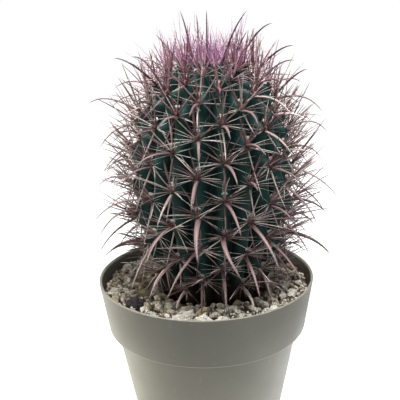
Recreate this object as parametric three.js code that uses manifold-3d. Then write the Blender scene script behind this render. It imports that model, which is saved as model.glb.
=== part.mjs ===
// A barrel cactus in a round plastic pot, with a pumice top dressing.
// Millimetres, +Z up, origin at the centre of the pot's foot. The front is the -Y side.
import * as THREE from "three";
import { mergeVertices } from "three/addons/utils/BufferGeometryUtils.js";
import Module from "manifold-3d";

const wasm = await Module();
wasm.setup();

// ---- Driving dimensions: the pot ----
const POT_HEIGHT = 148;
const RIM_RADIUS = 85;
const BAND_HEIGHT = 39.5; // the deep band below the rim
const BAND_FOOT_RADIUS = 79.2; // the band's outside at its lower edge
const SKIRT_DROP = 1.6; // how far the band's edge hangs below its ledge
const BODY_TOP_RADIUS = 74;
const FOOT_RADIUS = 54;
const WALL = 2;
const LIP = 1; // the rim's top is rounded over by this
const FOOT_EDGE = 1; // and so is the foot's outer edge
const FLOOR_TOP = 4.5;
const FOOT_RECESS = 2; // the underside between the centre pad and the foot ring is raised by this
const PAD_RADIUS = 14;
const FOOT_RING_INNER = 44;
const DRAIN_HOLES = 8;
const DRAIN_HOLE_RADIUS = 4;
const DRAIN_CIRCLE_RADIUS = 29;
const DRAIN_SEGMENTS = 12;
const POT_SEGMENTS = 40;

// ---- Driving dimensions: what fills the pot ----
const CLEARANCE = 0.3; // between pieces that only rest against each other
const SOIL_TOP = 133;
const GRAVEL_LEVEL = 140; // where the stem comes out of the dressing
const GRAVEL_BED_TOP = 138.4;
const STONE_TOP = 144; // no stone stands higher
const STONE_RINGS = [
  { radius: 53, count: 12, size: 5.8 },
  { radius: 63.5, count: 18, size: 6.4 },
  { radius: 74, count: 28, size: 5.4 },
];
const STONE_TILT = 0.5; // radians, at most half of it each way
const LAVA_SEED = 900;
const LAVA_STONES = [
  { angle: -56, radius: 66, size: 8.5 },
  { angle: 90, radius: 72.5, size: 5 },
];

// ---- Driving dimensions: the stem ----
const STEM_HEIGHT = 172; // above the gravel level
const STEM_RADIUS = 60; // at the ribs' crests
const WIDEST_AT = 75; // above the gravel level
const SHOULDER_POWER = 2.4; // 2 is an ellipse, and more is a squarer shoulder
const WAIST = 0.3; // how much narrower the stem is at the gravel
const WAIST_POWER = 1.45;
const STEM_OFFSET = 6.5; // the stem stands this far to the right of the pot's centre
const STEM_HOLE_RADIUS = 44.5; // the dressing stops short of the stem
const ROOT_RADIUS = 24;
const ROOT_TIP_RADIUS = 9;
const ROOT_LENGTH = 62;
const ROOT_SEGMENTS = 16;

// ---- Driving dimensions: ribs, areoles and spines ----
const CREST_STEPS = 120; // in each half of the crest's line
const RIBS = 21;
const FIRST_RIB_ANGLE = 6.3; // degrees to the right of the front
const RIB_DEPTH = 11;
const RIB_START = 22; // how far from the crown's centre a rib takes to stand out
const RIB_FOOT_LOSS = 0.3; // the share of its depth that it loses at the foot
const TUBERCLE_RISE = 1.3; // how far a rib swells at each areole
const AREOLE_STEP = 8 / 21; // each rib's areoles sit this share of a spacing above its left neighbour's
const AREOLE_SPACING = 27; // along a rib, away from the crown
const CROWN_CROWDING = 1.6; // over how many spacings the areoles draw together at the crown
const CREST_HALF = 0.4; // half of a rib's flat crest, as a share of the way from its middle to the furrow
const COLUMN_PHASES = [-CREST_HALF, CREST_HALF, 0.88, 1.12]; // across a crest and a furrow
const COLUMNS_PER_RIB = COLUMN_PHASES.length;
const STEM_ROWS = 14;
const CROWN_CLOSENESS = 1.12; // over 1, so that the rows are closer together on the crown
const LOWEST_AREOLE = 15; // above the gravel level
const MATURE_FROM = 2.2; // spacings from the crown's centre at which spines start to spread
const AREOLE_REACH = 1.4; // how far from an areole's centre its spines come out
const SPINE_SINK = 2.2; // how deep a spine's root goes into the stem
const SPINE_FULLNESS = 0.4; // 0 tapers evenly, and more stays thick for longer
const SPINE_GAP = 3; // two spines pass each other by this, measured between their middles
const GAP_STEPS = 12;
const ATTEMPTS = 80;
const FIRST_AREOLE = 0.65; // in spacings from the crown's centre
const YOUNG_SHARE = 0.9; // a crown spine's length, as a share of a grown one's
const SPREAD_BEFORE = 1.6; // spines spread from this many spacings above MATURE_FROM
const SPREAD_BY = 1.4; // to this many below it
const STONE_PASS = 1.2; // a spine passes over the stones by this
const RIM_PASS = 2.2; // and over the pot's rim by this
const RIM_MARGIN = 10; // within this of the rim

const HOOKED = { width: 2.5, flat: 0.5, lengths: 2 };
const STRAIGHT = { width: 1.5, flat: 0.8, lengths: 1 };
// The way each central spine leaves a grown areole, as shares out from the skin, up the rib and to its right.
const CENTRAL_SPINES = [
  { salt: 1, young: true, out: 0.7, up: -0.68, side: 0, length: 44, sag: 0.3, ...HOOKED },
  { salt: 2, young: true, out: 0.62, up: 0.78, side: 0, length: 41, sag: 0.16, ...STRAIGHT },
  { salt: 3, young: false, out: 0.62, up: 0.22, side: 0.74, length: 39, sag: 0.2, ...STRAIGHT },
  { salt: 4, young: false, out: 0.62, up: 0.22, side: -0.74, length: 39, sag: 0.2, ...STRAIGHT },
];

const UP = new THREE.Vector3(0, 0, 1);
const radians = THREE.MathUtils.degToRad;

// A fixed scatter: the same number from 0 to 1 each time for the same three whole numbers.
function scatter(a, b, c) {
  const wave = Math.sin(a * 127.1 + b * 311.7 + c * 74.7) * 43758.5453;
  return wave - Math.floor(wave);
}

function smoothStep(low, high, x) {
  const s = Math.min(Math.max((x - low) / (high - low), 0), 1);
  return s * s * (3 - 2 * s);
}

// ---- Solids from three.js geometry ----
function solidOf(geometry) {
  const bare = geometry.clone();
  bare.deleteAttribute("normal");
  bare.deleteAttribute("uv");
  const merged = mergeVertices(bare, 1e-3);
  return new wasm.Manifold(
    new wasm.Mesh({
      numProp: 3,
      vertProperties: merged.attributes.position.array,
      triVerts: new Uint32Array(merged.index.array),
    }),
  );
}

// The one body of a joined solid: loose scraps are dropped, and sealed hollows are filled.
function wholeOf(solid) {
  const bodies = solid.decompose();
  return bodies.reduce((best, body) => (body.volume() > best.volume() ? body : best));
}

function geometryOf(solid) {
  const mesh = wholeOf(solid).getMesh();
  const geometry = new THREE.BufferGeometry();
  geometry.setAttribute("position", new THREE.BufferAttribute(mesh.vertProperties, mesh.numProp));
  geometry.setIndex(new THREE.BufferAttribute(mesh.triVerts, 1));
  geometry.computeVertexNormals();
  return geometry;
}

// A profile of [radius, height] pairs, from the axis up the outside and back to the axis, turned about Z.
function turned(profile, segments) {
  const points = profile.map(([r, z]) => new THREE.Vector2(r, z));
  return new THREE.LatheGeometry(points, segments).rotateX(Math.PI / 2);
}

// A round bar along Z, with its middle at the origin.
function upright(radius, length, segments) {
  return new THREE.CylinderGeometry(radius, radius, length, segments).rotateX(Math.PI / 2);
}

function piece(name, geometry, material) {
  const mesh = new THREE.Mesh(geometry, material);
  mesh.name = name;
  return mesh;
}

// ---- Materials ----
const plastic = new THREE.MeshStandardMaterial({ color: 0x9a968a, roughness: 0.55, metalness: 0 });
const peat = new THREE.MeshStandardMaterial({ color: 0x2b211a, roughness: 1, metalness: 0 });
const pumice = new THREE.MeshStandardMaterial({ color: 0xb9af98, roughness: 0.95, metalness: 0 });
const lava = new THREE.MeshStandardMaterial({ color: 0x3a3438, roughness: 0.9, metalness: 0 });
const skin = new THREE.MeshStandardMaterial({ color: 0x24453c, roughness: 0.45, metalness: 0 });

// ---- The pot ----
const BAND_FOOT = POT_HEIGHT - BAND_HEIGHT;
const BODY_TOP = BAND_FOOT + SKIRT_DROP;

const LEDGE_TOP = BODY_TOP + WALL;

// The inside of the pot's body, and above its ledge the inside of the band.
function bodyInside(z) {
  return FOOT_RADIUS + ((BODY_TOP_RADIUS - FOOT_RADIUS) * z) / BODY_TOP - WALL;
}

function bandInside(z) {
  return BAND_FOOT_RADIUS + ((RIM_RADIUS - BAND_FOOT_RADIUS) * (z - BAND_FOOT)) / BAND_HEIGHT - WALL;
}

function makePot() {
  const outline = [
    [0, 0],
    [PAD_RADIUS, 0],
    [PAD_RADIUS + FOOT_RECESS, FOOT_RECESS],
    [FOOT_RING_INNER - FOOT_RECESS, FOOT_RECESS],
    [FOOT_RING_INNER, 0],
    [FOOT_RADIUS - FOOT_EDGE, 0],
    [FOOT_RADIUS, FOOT_EDGE],
    [BODY_TOP_RADIUS, BODY_TOP],
    [BAND_FOOT_RADIUS - WALL, BODY_TOP],
    [BAND_FOOT_RADIUS - WALL, BAND_FOOT],
    [BAND_FOOT_RADIUS, BAND_FOOT],
    [RIM_RADIUS, POT_HEIGHT - LIP],
    [RIM_RADIUS - 0.3 * WALL, POT_HEIGHT],
    [RIM_RADIUS - 0.7 * WALL, POT_HEIGHT],
    [RIM_RADIUS - WALL, POT_HEIGHT - LIP],
    [bandInside(LEDGE_TOP), LEDGE_TOP],
    [bodyInside(LEDGE_TOP), LEDGE_TOP],
    [bodyInside(FLOOR_TOP), FLOOR_TOP],
    [0, FLOOR_TOP],
  ];
  let pot = solidOf(turned(outline, POT_SEGMENTS));
  for (let i = 0; i < DRAIN_HOLES; i++) {
    const angle = (2 * Math.PI * (i + 0.5)) / DRAIN_HOLES;
    const x = DRAIN_CIRCLE_RADIUS * Math.cos(angle);
    const y = DRAIN_CIRCLE_RADIUS * Math.sin(angle);
    pot = pot.subtract(solidOf(upright(DRAIN_HOLE_RADIUS, 3 * FLOOR_TOP, DRAIN_SEGMENTS).translate(x, y, 0)));
  }
  return piece("pot", geometryOf(pot), plastic);
}

// ---- The stem's shape ----
// The crest line from the crown's centre down to the foot, as [distance along it, radius, height].
function crestLine() {
  const line = [];
  const steps = CREST_STEPS;
  for (let i = 0; i <= steps; i++) {
    const angle = (Math.PI / 2) * (1 - i / steps);
    const radius = STEM_RADIUS * Math.cos(angle) ** (2 / SHOULDER_POWER);
    const rise = Math.sin(angle) ** (2 / SHOULDER_POWER);
    line.push([0, i ? radius : 0, WIDEST_AT + (STEM_HEIGHT - WIDEST_AT) * rise]);
  }
  const foot = SOIL_TOP - GRAVEL_LEVEL;
  for (let i = 1; i <= steps; i++) {
    const height = WIDEST_AT + ((foot - WIDEST_AT) * i) / steps;
    const below = (WIDEST_AT - height) / WIDEST_AT;
    line.push([0, STEM_RADIUS * (1 - WAIST * below ** WAIST_POWER), height]);
  }
  for (let i = 1; i < line.length; i++) {
    const [before, r0, h0] = line[i - 1];
    line[i][0] = before + Math.hypot(line[i][1] - r0, line[i][2] - h0);
  }
  return line;
}

const CREST = crestLine();
const CREST_LENGTH = CREST.at(-1)[0];

// The crest at a distance from the crown's centre: its radius and height, and the outward normal's parts.
function crestAt(distance) {
  const d = Math.min(Math.max(distance, 0), CREST_LENGTH);
  const i = Math.max(1, CREST.findIndex((row) => row[0] >= d));
  const [d0, r0, h0] = CREST[i - 1];
  const [d1, r1, h1] = CREST[i];
  const s = (d - d0) / (d1 - d0);
  const span = d1 - d0;
  return {
    radius: r0 + (r1 - r0) * s,
    height: h0 + (h1 - h0) * s,
    normalOut: (h0 - h1) / span,
    normalUp: (r1 - r0) / span,
  };
}

// Areoles are counted from the crown, in spacings. They crowd together there.
function areoleDistance(count) {
  return AREOLE_SPACING * (count - CROWN_CROWDING * (1 - Math.exp(-count / CROWN_CROWDING)));
}

function areoleCount(distance) {
  let low = 0;
  let high = CREST_LENGTH / AREOLE_SPACING + 2 * CROWN_CROWDING;
  for (let i = 0; i < 30; i++) {
    const middle = (low + high) / 2;
    if (areoleDistance(middle) < distance) low = middle;
    else high = middle;
  }
  return (low + high) / 2;
}

function ribAngle(rib) {
  return radians(FIRST_RIB_ANGLE) + (2 * Math.PI * rib) / RIBS;
}

// The share of a spacing by which a rib's areoles are shifted down from the first rib's.
function ribShift(rib) {
  const shift = -rib * AREOLE_STEP;
  return shift - Math.floor(shift);
}

// Ribs begin at the crown's centre, are soon full, and grow shallower towards the foot.
function ribDepth(distance) {
  const begun = 1 - Math.exp(-distance / RIB_START);
  return RIB_DEPTH * begun * (1 - RIB_FOOT_LOSS * smoothStep(0.72, 1, distance / CREST_LENGTH));
}

// A point of the skin: phase is 0 on a rib's crest and 1 or -1 in the furrows beside it.
function skinPoint(distance, rib, phase) {
  const { radius, height, normalOut, normalUp } = crestAt(distance);
  const across = Math.abs(Math.abs(phase) > 1 ? 2 - Math.abs(phase) : phase);
  const fall = Math.max(0, across - CREST_HALF) / (1 - CREST_HALF);
  const swell = Math.cos(2 * Math.PI * (areoleCount(distance) - ribShift(rib)));
  const grown = smoothStep(4, 30, distance) * smoothStep(2, 12, height);
  const lift = TUBERCLE_RISE * swell * grown * (1 - across) - ribDepth(distance) * fall;
  const angle = ribAngle(rib + phase / 2);
  const reach = radius + lift * normalOut;
  const z = height + lift * normalUp;
  return new THREE.Vector3(
    reach * Math.sin(angle) + STEM_OFFSET,
    -reach * Math.cos(angle),
    GRAVEL_LEVEL + z,
  );
}

// ---- The stem, with its root ----
function makeStem() {
  const columns = RIBS * COLUMNS_PER_RIB;
  const rows = [];
  for (let i = STEM_ROWS; i >= 1; i--) {
    rows.push(CREST_LENGTH * (i / STEM_ROWS) ** CROWN_CLOSENESS);
  }
  const profile = [[0, SOIL_TOP], ...rows.map((d) => [crestAt(d).radius, crestAt(d).height]), [0, 0]];
  const shape = turned(profile, columns);
  const place = shape.attributes.position;
  for (let i = 0; i < place.count; i++) {
    const row = (i % profile.length) - 1;
    const column = Math.floor(i / profile.length) % columns;
    const rib = Math.floor((column + 1) / COLUMNS_PER_RIB);
    const phase = COLUMN_PHASES[(column + 1) % COLUMNS_PER_RIB];
    if (row < 0) {
      place.setXYZ(i, STEM_OFFSET, 0, SOIL_TOP);
    } else if (row < STEM_ROWS) {
      const p = skinPoint(rows[row], rib, phase);
      place.setXYZ(i, p.x, p.y, row ? p.z : SOIL_TOP);
    } else {
      place.setXYZ(i, STEM_OFFSET, 0, GRAVEL_LEVEL + STEM_HEIGHT);
    }
  }
  return solidOf(shape);
}

// The root's profile, larger by a gap where it is the hole for it, and reaching past the soil's top by rise.
function rootProfile(gap, rise) {
  const tip = SOIL_TOP - ROOT_LENGTH;
  return [
    [0, tip - gap],
    [ROOT_TIP_RADIUS + gap, tip - gap],
    [ROOT_RADIUS * 0.8 + gap, SOIL_TOP - ROOT_LENGTH * 0.3],
    [ROOT_RADIUS + gap, SOIL_TOP],
    [ROOT_RADIUS + gap, SOIL_TOP + rise],
    [0, SOIL_TOP + rise],
  ];
}

function rootShape(gap, rise) {
  return turned(rootProfile(gap, rise), ROOT_SEGMENTS).translate(STEM_OFFSET, 0, 0);
}

// ---- The spines ----
// The frame of an areole: where it is, and the ways out, up the rib and to its right.
function areole(rib, count) {
  const distance = areoleDistance(count);
  const { normalOut, normalUp } = crestAt(distance);
  const angle = ribAngle(rib);
  const outward = new THREE.Vector3(Math.sin(angle), -Math.cos(angle), 0);
  const right = new THREE.Vector3(Math.cos(angle), Math.sin(angle), 0);
  const out = outward.clone().multiplyScalar(normalOut).addScaledVector(UP, normalUp).normalize();
  const up = new THREE.Vector3().crossVectors(right, out).negate();
  return { at: skinPoint(distance, rib, 0), out, up, right, count, rib };
}

// The lowest that a spine may pass: over the stones inside the pot, over its rim, and free outside it.
function lowestAt(point) {
  const pastRim = Math.hypot(point.x, point.y) - RIM_RADIUS;
  if (pastRim > RIM_MARGIN) return 0;
  return pastRim > -RIM_MARGIN ? POT_HEIGHT + RIM_PASS : STONE_TOP + STONE_PASS;
}

// A spine's curve leaves along a direction and sags, and is raised until it clears the stones and the rim.
function spineCurve(root, direction, length, sag) {
  const middle = root.clone().addScaledVector(direction, length / 2);
  const tip = root.clone().addScaledVector(direction, length).addScaledVector(UP, -sag * length);
  const curve = new THREE.QuadraticBezierCurve3(root, middle, tip);
  const blocked = () => curve.getPoints(GAP_STEPS).slice(3).some((p) => p.z < lowestAt(p));
  while (blocked()) {
    tip.z += 0.8;
    middle.z += 0.3;
  }
  return curve;
}

// A three-sided needle along a curve, in one straight length or more, wider than it is thick by flat.
function needle(curve, width, flat, lengths) {
  const chord = curve.getPoint(1).sub(curve.getPoint(0)).normalize();
  const shape = new THREE.ConeGeometry(0.5, 1, 3, lengths).toNonIndexed();
  const place = shape.attributes.position;
  for (let i = 0; i < place.count; i++) {
    const along = Math.min(Math.max(place.getY(i) + 0.5, 0), 1);
    const fullness = along < 1 ? (1 - along) ** -SPINE_FULLNESS : 0;
    const tangent = lengths > 1 ? curve.getTangent(along) : chord;
    const across = new THREE.Vector3().crossVectors(tangent, UP).normalize();
    const thick = new THREE.Vector3().crossVectors(across, tangent);
    const p = curve
      .getPoint(along)
      .addScaledVector(across, place.getX(i) * width * fullness)
      .addScaledVector(thick, place.getZ(i) * width * flat * fullness);
    place.setXYZ(i, p.x, p.y, p.z);
  }
  return solidOf(shape);
}

// How a central spine leaves its areole: spread on a grown one, and drawn up together at the crown.
function centralSpine(place, kind, attempt) {
  const { at, out, up, right, count, rib } = place;
  const draw = (salt) => scatter(rib + RIBS * Math.floor(count), kind.salt, salt + 5 * attempt) - 0.5;
  const grown = smoothStep(MATURE_FROM - SPREAD_BEFORE, MATURE_FROM + SPREAD_BY, count);
  const spread = 0.3 + 0.7 * grown;
  const direction = new THREE.Vector3()
    .addScaledVector(out, kind.out + 0.25 * draw(1))
    .addScaledVector(up, (kind.up + 0.4 * draw(2)) * spread)
    .addScaledVector(right, (kind.side + 0.5 * draw(3)) * spread)
    .addScaledVector(UP, 0.75 * (1 - grown))
    .normalize();
  const length = kind.length * (1 + 0.34 * draw(4)) * (YOUNG_SHARE + (1 - YOUNG_SHARE) * grown);
  const root = at.clone()
    .addScaledVector(up, AREOLE_REACH * kind.up)
    .addScaledVector(right, AREOLE_REACH * kind.side)
    .addScaledVector(out, -SPINE_SINK);
  return spineCurve(root, direction, length + SPINE_SINK, kind.sag * grown);
}

// The smallest distance between a curve and the spines that are already there.
function gapTo(spines, curve) {
  const nearest = new THREE.Vector3();
  let gap = Infinity;
  for (const point of curve.getPoints(GAP_STEPS).slice(2)) {
    for (const line of spines) {
      line.closestPointToPoint(point, true, nearest);
      gap = Math.min(gap, nearest.distanceTo(point));
    }
  }
  return gap;
}

// The spines grow one by one, and each is drawn again until it passes the others.
function makeSpines() {
  const spines = [];
  const lines = [];
  for (let rib = 0; rib < RIBS; rib++) {
    for (let count = ribShift(rib); areoleDistance(count) < CREST_LENGTH; count++) {
      const place = areole(rib, count);
      if (count < FIRST_AREOLE || place.at.z < GRAVEL_LEVEL + LOWEST_AREOLE) continue;
      for (const kind of CENTRAL_SPINES) {
        if (count < MATURE_FROM && !kind.young) continue;
        const near = lines.filter((line) => line.start.distanceTo(place.at) < 2 * kind.length);
        let best = { gap: -1 };
        for (let attempt = 0; attempt < ATTEMPTS && best.gap < SPINE_GAP; attempt++) {
          const curve = centralSpine(place, kind, attempt);
          const gap = gapTo(near, curve);
          if (gap > best.gap) best = { gap, curve };
        }
        const points = best.curve.getPoints(kind.lengths);
        points.slice(1).forEach((point, i) => lines.push(new THREE.Line3(points[i], point)));
        spines.push(needle(best.curve, kind.width, kind.flat, kind.lengths));
      }
    }
  }
  return spines;
}

function makeCactus() {
  const cactus = wasm.Manifold.union([makeStem(), solidOf(rootShape(0, 6)), ...makeSpines()]);
  return piece("cactus", geometryOf(cactus), skin);
}

// ---- Soil, gravel and the larger dark stones ----
function makeSoil() {
  const outline = [
    [0, FLOOR_TOP],
    [bodyInside(FLOOR_TOP) - CLEARANCE, FLOOR_TOP],
    [bodyInside(LEDGE_TOP) - CLEARANCE, LEDGE_TOP],
    [bodyInside(LEDGE_TOP) - CLEARANCE, LEDGE_TOP + CLEARANCE],
    [bandInside(LEDGE_TOP) - CLEARANCE, LEDGE_TOP + CLEARANCE],
    [bandInside(SOIL_TOP) - CLEARANCE, SOIL_TOP],
    [0, SOIL_TOP],
  ];
  const soil = solidOf(turned(outline, POT_SEGMENTS)).subtract(solidOf(rootShape(CLEARANCE, 1)));
  return piece("soil", geometryOf(soil), peat);
}

// A rough stone: a twenty-sided ball, pressed out of round, with its top no higher than the dressing's.
function stone(angle, radius, z, size, seed) {
  const draw = (salt) => scatter(seed, salt, 5);
  const shape = new THREE.IcosahedronGeometry(size, 0);
  shape.scale(0.85 + 0.5 * draw(1), 0.7 + 0.35 * draw(2), 0.5 + 0.25 * draw(3));
  shape.rotateX(STONE_TILT * (draw(4) - 0.5));
  shape.rotateY(STONE_TILT * (draw(5) - 0.5));
  shape.rotateZ(2 * Math.PI * draw(6));
  shape.translate(radius * Math.sin(angle), -radius * Math.cos(angle), z);
  shape.computeBoundingBox();
  return shape.translate(0, 0, Math.min(0, STONE_TOP - shape.boundingBox.max.z));
}

// A ring of stones in the dressing, each a little off its even place.
function stoneRing({ radius, count, size }, ring) {
  const stones = [];
  for (let i = 0; i < count; i++) {
    const seed = ring * 100 + i;
    const angle = (2 * Math.PI * (i + 0.6 * scatter(seed, 8, 1))) / count;
    const reach = radius + 2.4 * (scatter(seed, 9, 1) - 0.5);
    const z = GRAVEL_BED_TOP + 0.6 + 1.6 * scatter(seed, 10, 1);
    stones.push(stone(angle, reach, z, size * (0.85 + 0.4 * scatter(seed, 11, 1)), seed));
  }
  return stones;
}

function lavaStone({ angle, radius, size }, index) {
  return stone(radians(angle), radius, GRAVEL_BED_TOP + 1.2, size, LAVA_SEED + index);
}

// The hollow that a lava stone lies in: its own shape, a little larger.
function lavaPocket(place, index) {
  const pocket = lavaStone(place, index);
  pocket.computeBoundingBox();
  const { x, y, z } = pocket.boundingBox.getCenter(new THREE.Vector3());
  const growth = 1 + CLEARANCE / (place.size * 0.45);
  return pocket.translate(-x, -y, -z).scale(growth, growth, growth).translate(x, y, z);
}

function makeLavaStones() {
  return LAVA_STONES.map((place, i) => piece(`lava_stone_${i + 1}`, lavaStone(place, i), lava));
}

// What may hold gravel: the inside of the band from the soil up to a height.
function bandFilling(top) {
  const outline = [
    [0, SOIL_TOP],
    [bandInside(SOIL_TOP) - CLEARANCE, SOIL_TOP],
    [bandInside(top) - CLEARANCE, top],
    [0, top],
  ];
  return solidOf(turned(outline, POT_SEGMENTS));
}

function makeGravel() {
  const stones = STONE_RINGS.flatMap(stoneRing).map(solidOf);
  const hole = upright(STEM_HOLE_RADIUS, 3 * (STONE_TOP - SOIL_TOP), POT_SEGMENTS);
  let gravel = wasm.Manifold.union([bandFilling(GRAVEL_BED_TOP), ...stones])
    .intersect(bandFilling(STONE_TOP + 1))
    .subtract(solidOf(hole.translate(STEM_OFFSET, 0, GRAVEL_LEVEL)));
  LAVA_STONES.forEach((place, i) => {
    gravel = gravel.subtract(solidOf(lavaPocket(place, i)));
  });
  return piece("gravel", geometryOf(gravel), pumice);
}

const plant = new THREE.Group();
plant.add(makePot(), makeSoil(), makeGravel(), ...makeLavaStones(), makeCactus());

export default plant;
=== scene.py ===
"""A potted barrel cactus with a pumice top dressing: its finished surfaces, spines and stones."""

import math
from collections import namedtuple

import bmesh
import bpy
import numpy as np
from mathutils import Matrix, Vector, noise


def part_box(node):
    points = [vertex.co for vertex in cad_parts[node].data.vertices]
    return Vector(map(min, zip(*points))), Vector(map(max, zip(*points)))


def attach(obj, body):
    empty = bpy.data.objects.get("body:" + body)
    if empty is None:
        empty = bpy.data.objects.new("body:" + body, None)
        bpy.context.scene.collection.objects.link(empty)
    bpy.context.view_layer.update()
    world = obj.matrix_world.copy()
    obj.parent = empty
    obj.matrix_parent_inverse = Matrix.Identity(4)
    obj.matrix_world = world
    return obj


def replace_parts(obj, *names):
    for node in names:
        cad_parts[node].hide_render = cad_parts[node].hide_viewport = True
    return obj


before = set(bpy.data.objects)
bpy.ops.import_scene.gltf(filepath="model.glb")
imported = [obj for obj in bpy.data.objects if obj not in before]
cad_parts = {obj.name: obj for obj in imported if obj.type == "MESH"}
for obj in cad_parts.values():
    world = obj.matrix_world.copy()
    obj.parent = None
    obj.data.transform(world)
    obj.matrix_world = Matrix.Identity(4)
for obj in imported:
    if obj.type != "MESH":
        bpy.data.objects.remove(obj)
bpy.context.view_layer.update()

# ---- Sizes, in millimetres; the frame and Blender are in metres ----
MM = 0.001
RIM_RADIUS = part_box("pot")[1].x / MM
POT_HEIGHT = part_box("pot")[1].z / MM
BAND_HEIGHT = 39.5
BAND_FOOT = POT_HEIGHT - BAND_HEIGHT
BAND_FOOT_RADIUS = 79.2
SKIRT_DROP = 1.6
BODY_TOP_RADIUS = 74.0
FOOT_RADIUS = 54.0
WALL = 2.0
FLOOR_TOP = 4.5
FOOT_RECESS = 2.0
PAD_RADIUS = 14.0
FOOT_RING_INNER = 44.0
DRAIN_HOLES = 8
DRAIN_HOLE_RADIUS = 4.0
DRAIN_CIRCLE_RADIUS = 29.0

SOIL_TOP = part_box("soil")[1].z / MM
STONE_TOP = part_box("gravel")[1].z / MM
GRAVEL_LEVEL = SOIL_TOP + 7

STEM_HEIGHT = 172.0
STEM_RADIUS = 60.0
WIDEST_AT = 75.0
SHOULDER_POWER = 2.4
WAIST = 0.3
WAIST_POWER = 1.45
STEM_OFFSET = 6.5

RIBS = 21
FIRST_RIB_ANGLE = math.radians(6.3)
RIB_DEPTH = 11.0
RIB_START = 22.0
RIB_FOOT_LOSS = 0.3
AREOLE_STEP = 8 / 21
AREOLE_SPACING = 27.0
CROWN_CROWDING = 1.6
LOWEST_AREOLE = 9.0

UP = Vector((0, 0, 1))


def scatter(a, b, c=0):
    """The same number from 0 to 1 each time for the same three numbers."""
    wave = math.sin(a * 127.1 + b * 311.7 + c * 74.7) * 43758.5453
    return wave - math.floor(wave)


def smooth_step(low, high, x):
    s = min(max((x - low) / (high - low), 0.0), 1.0)
    return s * s * (3 - 2 * s)


def blend(a, b, s):
    return a + (b - a) * s


# ---- Pieces ----
def in_scene(name, data):
    made = bpy.data.objects.new(name, data)
    bpy.context.scene.collection.objects.link(made)
    return made


def mesh_in_metres(bm, name):
    """A mesh from a bmesh in millimetres, which it uses up."""
    bmesh.ops.scale(bm, vec=(MM, MM, MM), verts=bm.verts)
    mesh = bpy.data.meshes.new(name)
    bm.to_mesh(mesh)
    bm.free()
    return mesh


def finish_piece(bm, name, material, smooth=True):
    """Turns a bmesh in millimetres into a named piece that rides on the plant."""
    mesh = mesh_in_metres(bm, name)
    mesh.polygons.foreach_set("use_smooth", [smooth] * len(mesh.polygons))
    piece = in_scene(name, mesh)
    mesh.materials.append(material)
    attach(piece, "root")
    return piece


def spin_round(bm, outline, steps, merge=1e-4):
    """Spins an outline's verts and edges once round Z into a closed solid."""
    bmesh.ops.spin(
        bm, geom=outline, cent=(0, 0, 0), axis=UP, angle=2 * math.pi, steps=steps, use_merge=True
    )
    bmesh.ops.remove_doubles(bm, verts=bm.verts, dist=merge)
    bmesh.ops.recalc_face_normals(bm, faces=bm.faces)


CORNER_STEPS = 4


def rounded(corner, before, after, radius):
    """The points of a rounded corner between two neighbouring corners of an outline."""
    c, a, b = Vector(corner), Vector(before), Vector(after)
    start = c + (a - c).normalized() * radius
    end = c + (b - c).normalized() * radius
    shares = [i / CORNER_STEPS for i in range(CORNER_STEPS + 1)]
    return [tuple(start.lerp(c, t).lerp(c.lerp(end, t), t)) for t in shares]


# ---- Materials ----
class Finish:
    """A material of procedural nodes round one Principled shader."""

    def __init__(self, name, roughness, specular):
        self.material = bpy.data.materials.new(name)
        self.material.use_nodes = True
        self.tree = self.material.node_tree
        self.shader = self.tree.nodes["Principled BSDF"]
        self.shader.inputs["Roughness"].default_value = roughness
        self.shader.inputs["Specular IOR Level"].default_value = specular
        self.place = self.node("ShaderNodeTexCoord").outputs["Object"]

    def node(self, kind, inputs=None, **settings):
        """A new node, with its inputs put to sources or plain values."""
        made = self.tree.nodes.new(kind)
        for key, value in settings.items():
            setattr(made, key, value)
        for key, source in (inputs or {}).items():
            self.put(source, made.inputs[key])
        return made

    def put(self, source, socket):
        """Links a source to a socket, or sets the socket where the source is a plain value."""
        if isinstance(source, bpy.types.NodeSocket):
            self.tree.links.new(source, socket)
        else:
            socket.default_value = source

    def noise(self, scale, detail, roughness=0.55, stretch=None):
        """Noise over the piece, with its scale in features per millimetre."""
        place = self.stretched(stretch) if stretch else self.place
        inputs = {"Scale": scale / MM, "Detail": detail, "Roughness": roughness, "Vector": place}
        return self.node("ShaderNodeTexNoise", inputs).outputs["Fac"]

    def cells(self, scale):
        inputs = {"Scale": scale / MM, "Vector": self.place}
        return self.node("ShaderNodeTexVoronoi", inputs).outputs["Distance"]

    def stretched(self, scale):
        return self.node("ShaderNodeMapping", {"Scale": scale, "Vector": self.place}).outputs["Vector"]

    def attribute(self, name):
        return self.node("ShaderNodeAttribute", attribute_name=name).outputs["Fac"]

    def ramp(self, source, *stops):
        """Colours or greys at places from 0 to 1."""
        made = self.node("ShaderNodeValToRGB")
        elements = made.color_ramp.elements
        while len(elements) < len(stops):
            elements.new(0.5)
        for element, (place, colour) in zip(elements, stops):
            element.position = place
            grey = isinstance(colour, (int, float))
            element.color = (colour, colour, colour, 1) if grey else (*colour, 1)
        self.put(source, made.inputs["Fac"])
        return made.outputs["Color"]

    def mix(self, share, a, b):
        a, b = ((*source, 1) if isinstance(source, tuple) else source for source in (a, b))
        return self.node("ShaderNodeMix", {0: share, 6: a, 7: b}, data_type="RGBA").outputs[2]

    def calculate(self, how, a, b):
        return self.node("ShaderNodeMath", {0: a, 1: b}, operation=how, use_clamp=True).outputs[0]

    def colour(self, source):
        self.put(source, self.shader.inputs["Base Color"])

    def rough(self, source, low, high):
        made = self.node("ShaderNodeMapRange", {"Value": source, "To Min": low, "To Max": high})
        self.put(made.outputs["Result"], self.shader.inputs["Roughness"])

    def bump(self, source, depth):
        """Relief of a depth in millimetres, over any that is there already."""
        normal = self.shader.inputs["Normal"]
        inputs = {"Distance": depth * MM, "Height": source}
        if normal.is_linked:
            inputs["Normal"] = normal.links[0].from_socket
        self.put(self.node("ShaderNodeBump", inputs).outputs["Normal"], normal)
        return self


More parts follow.
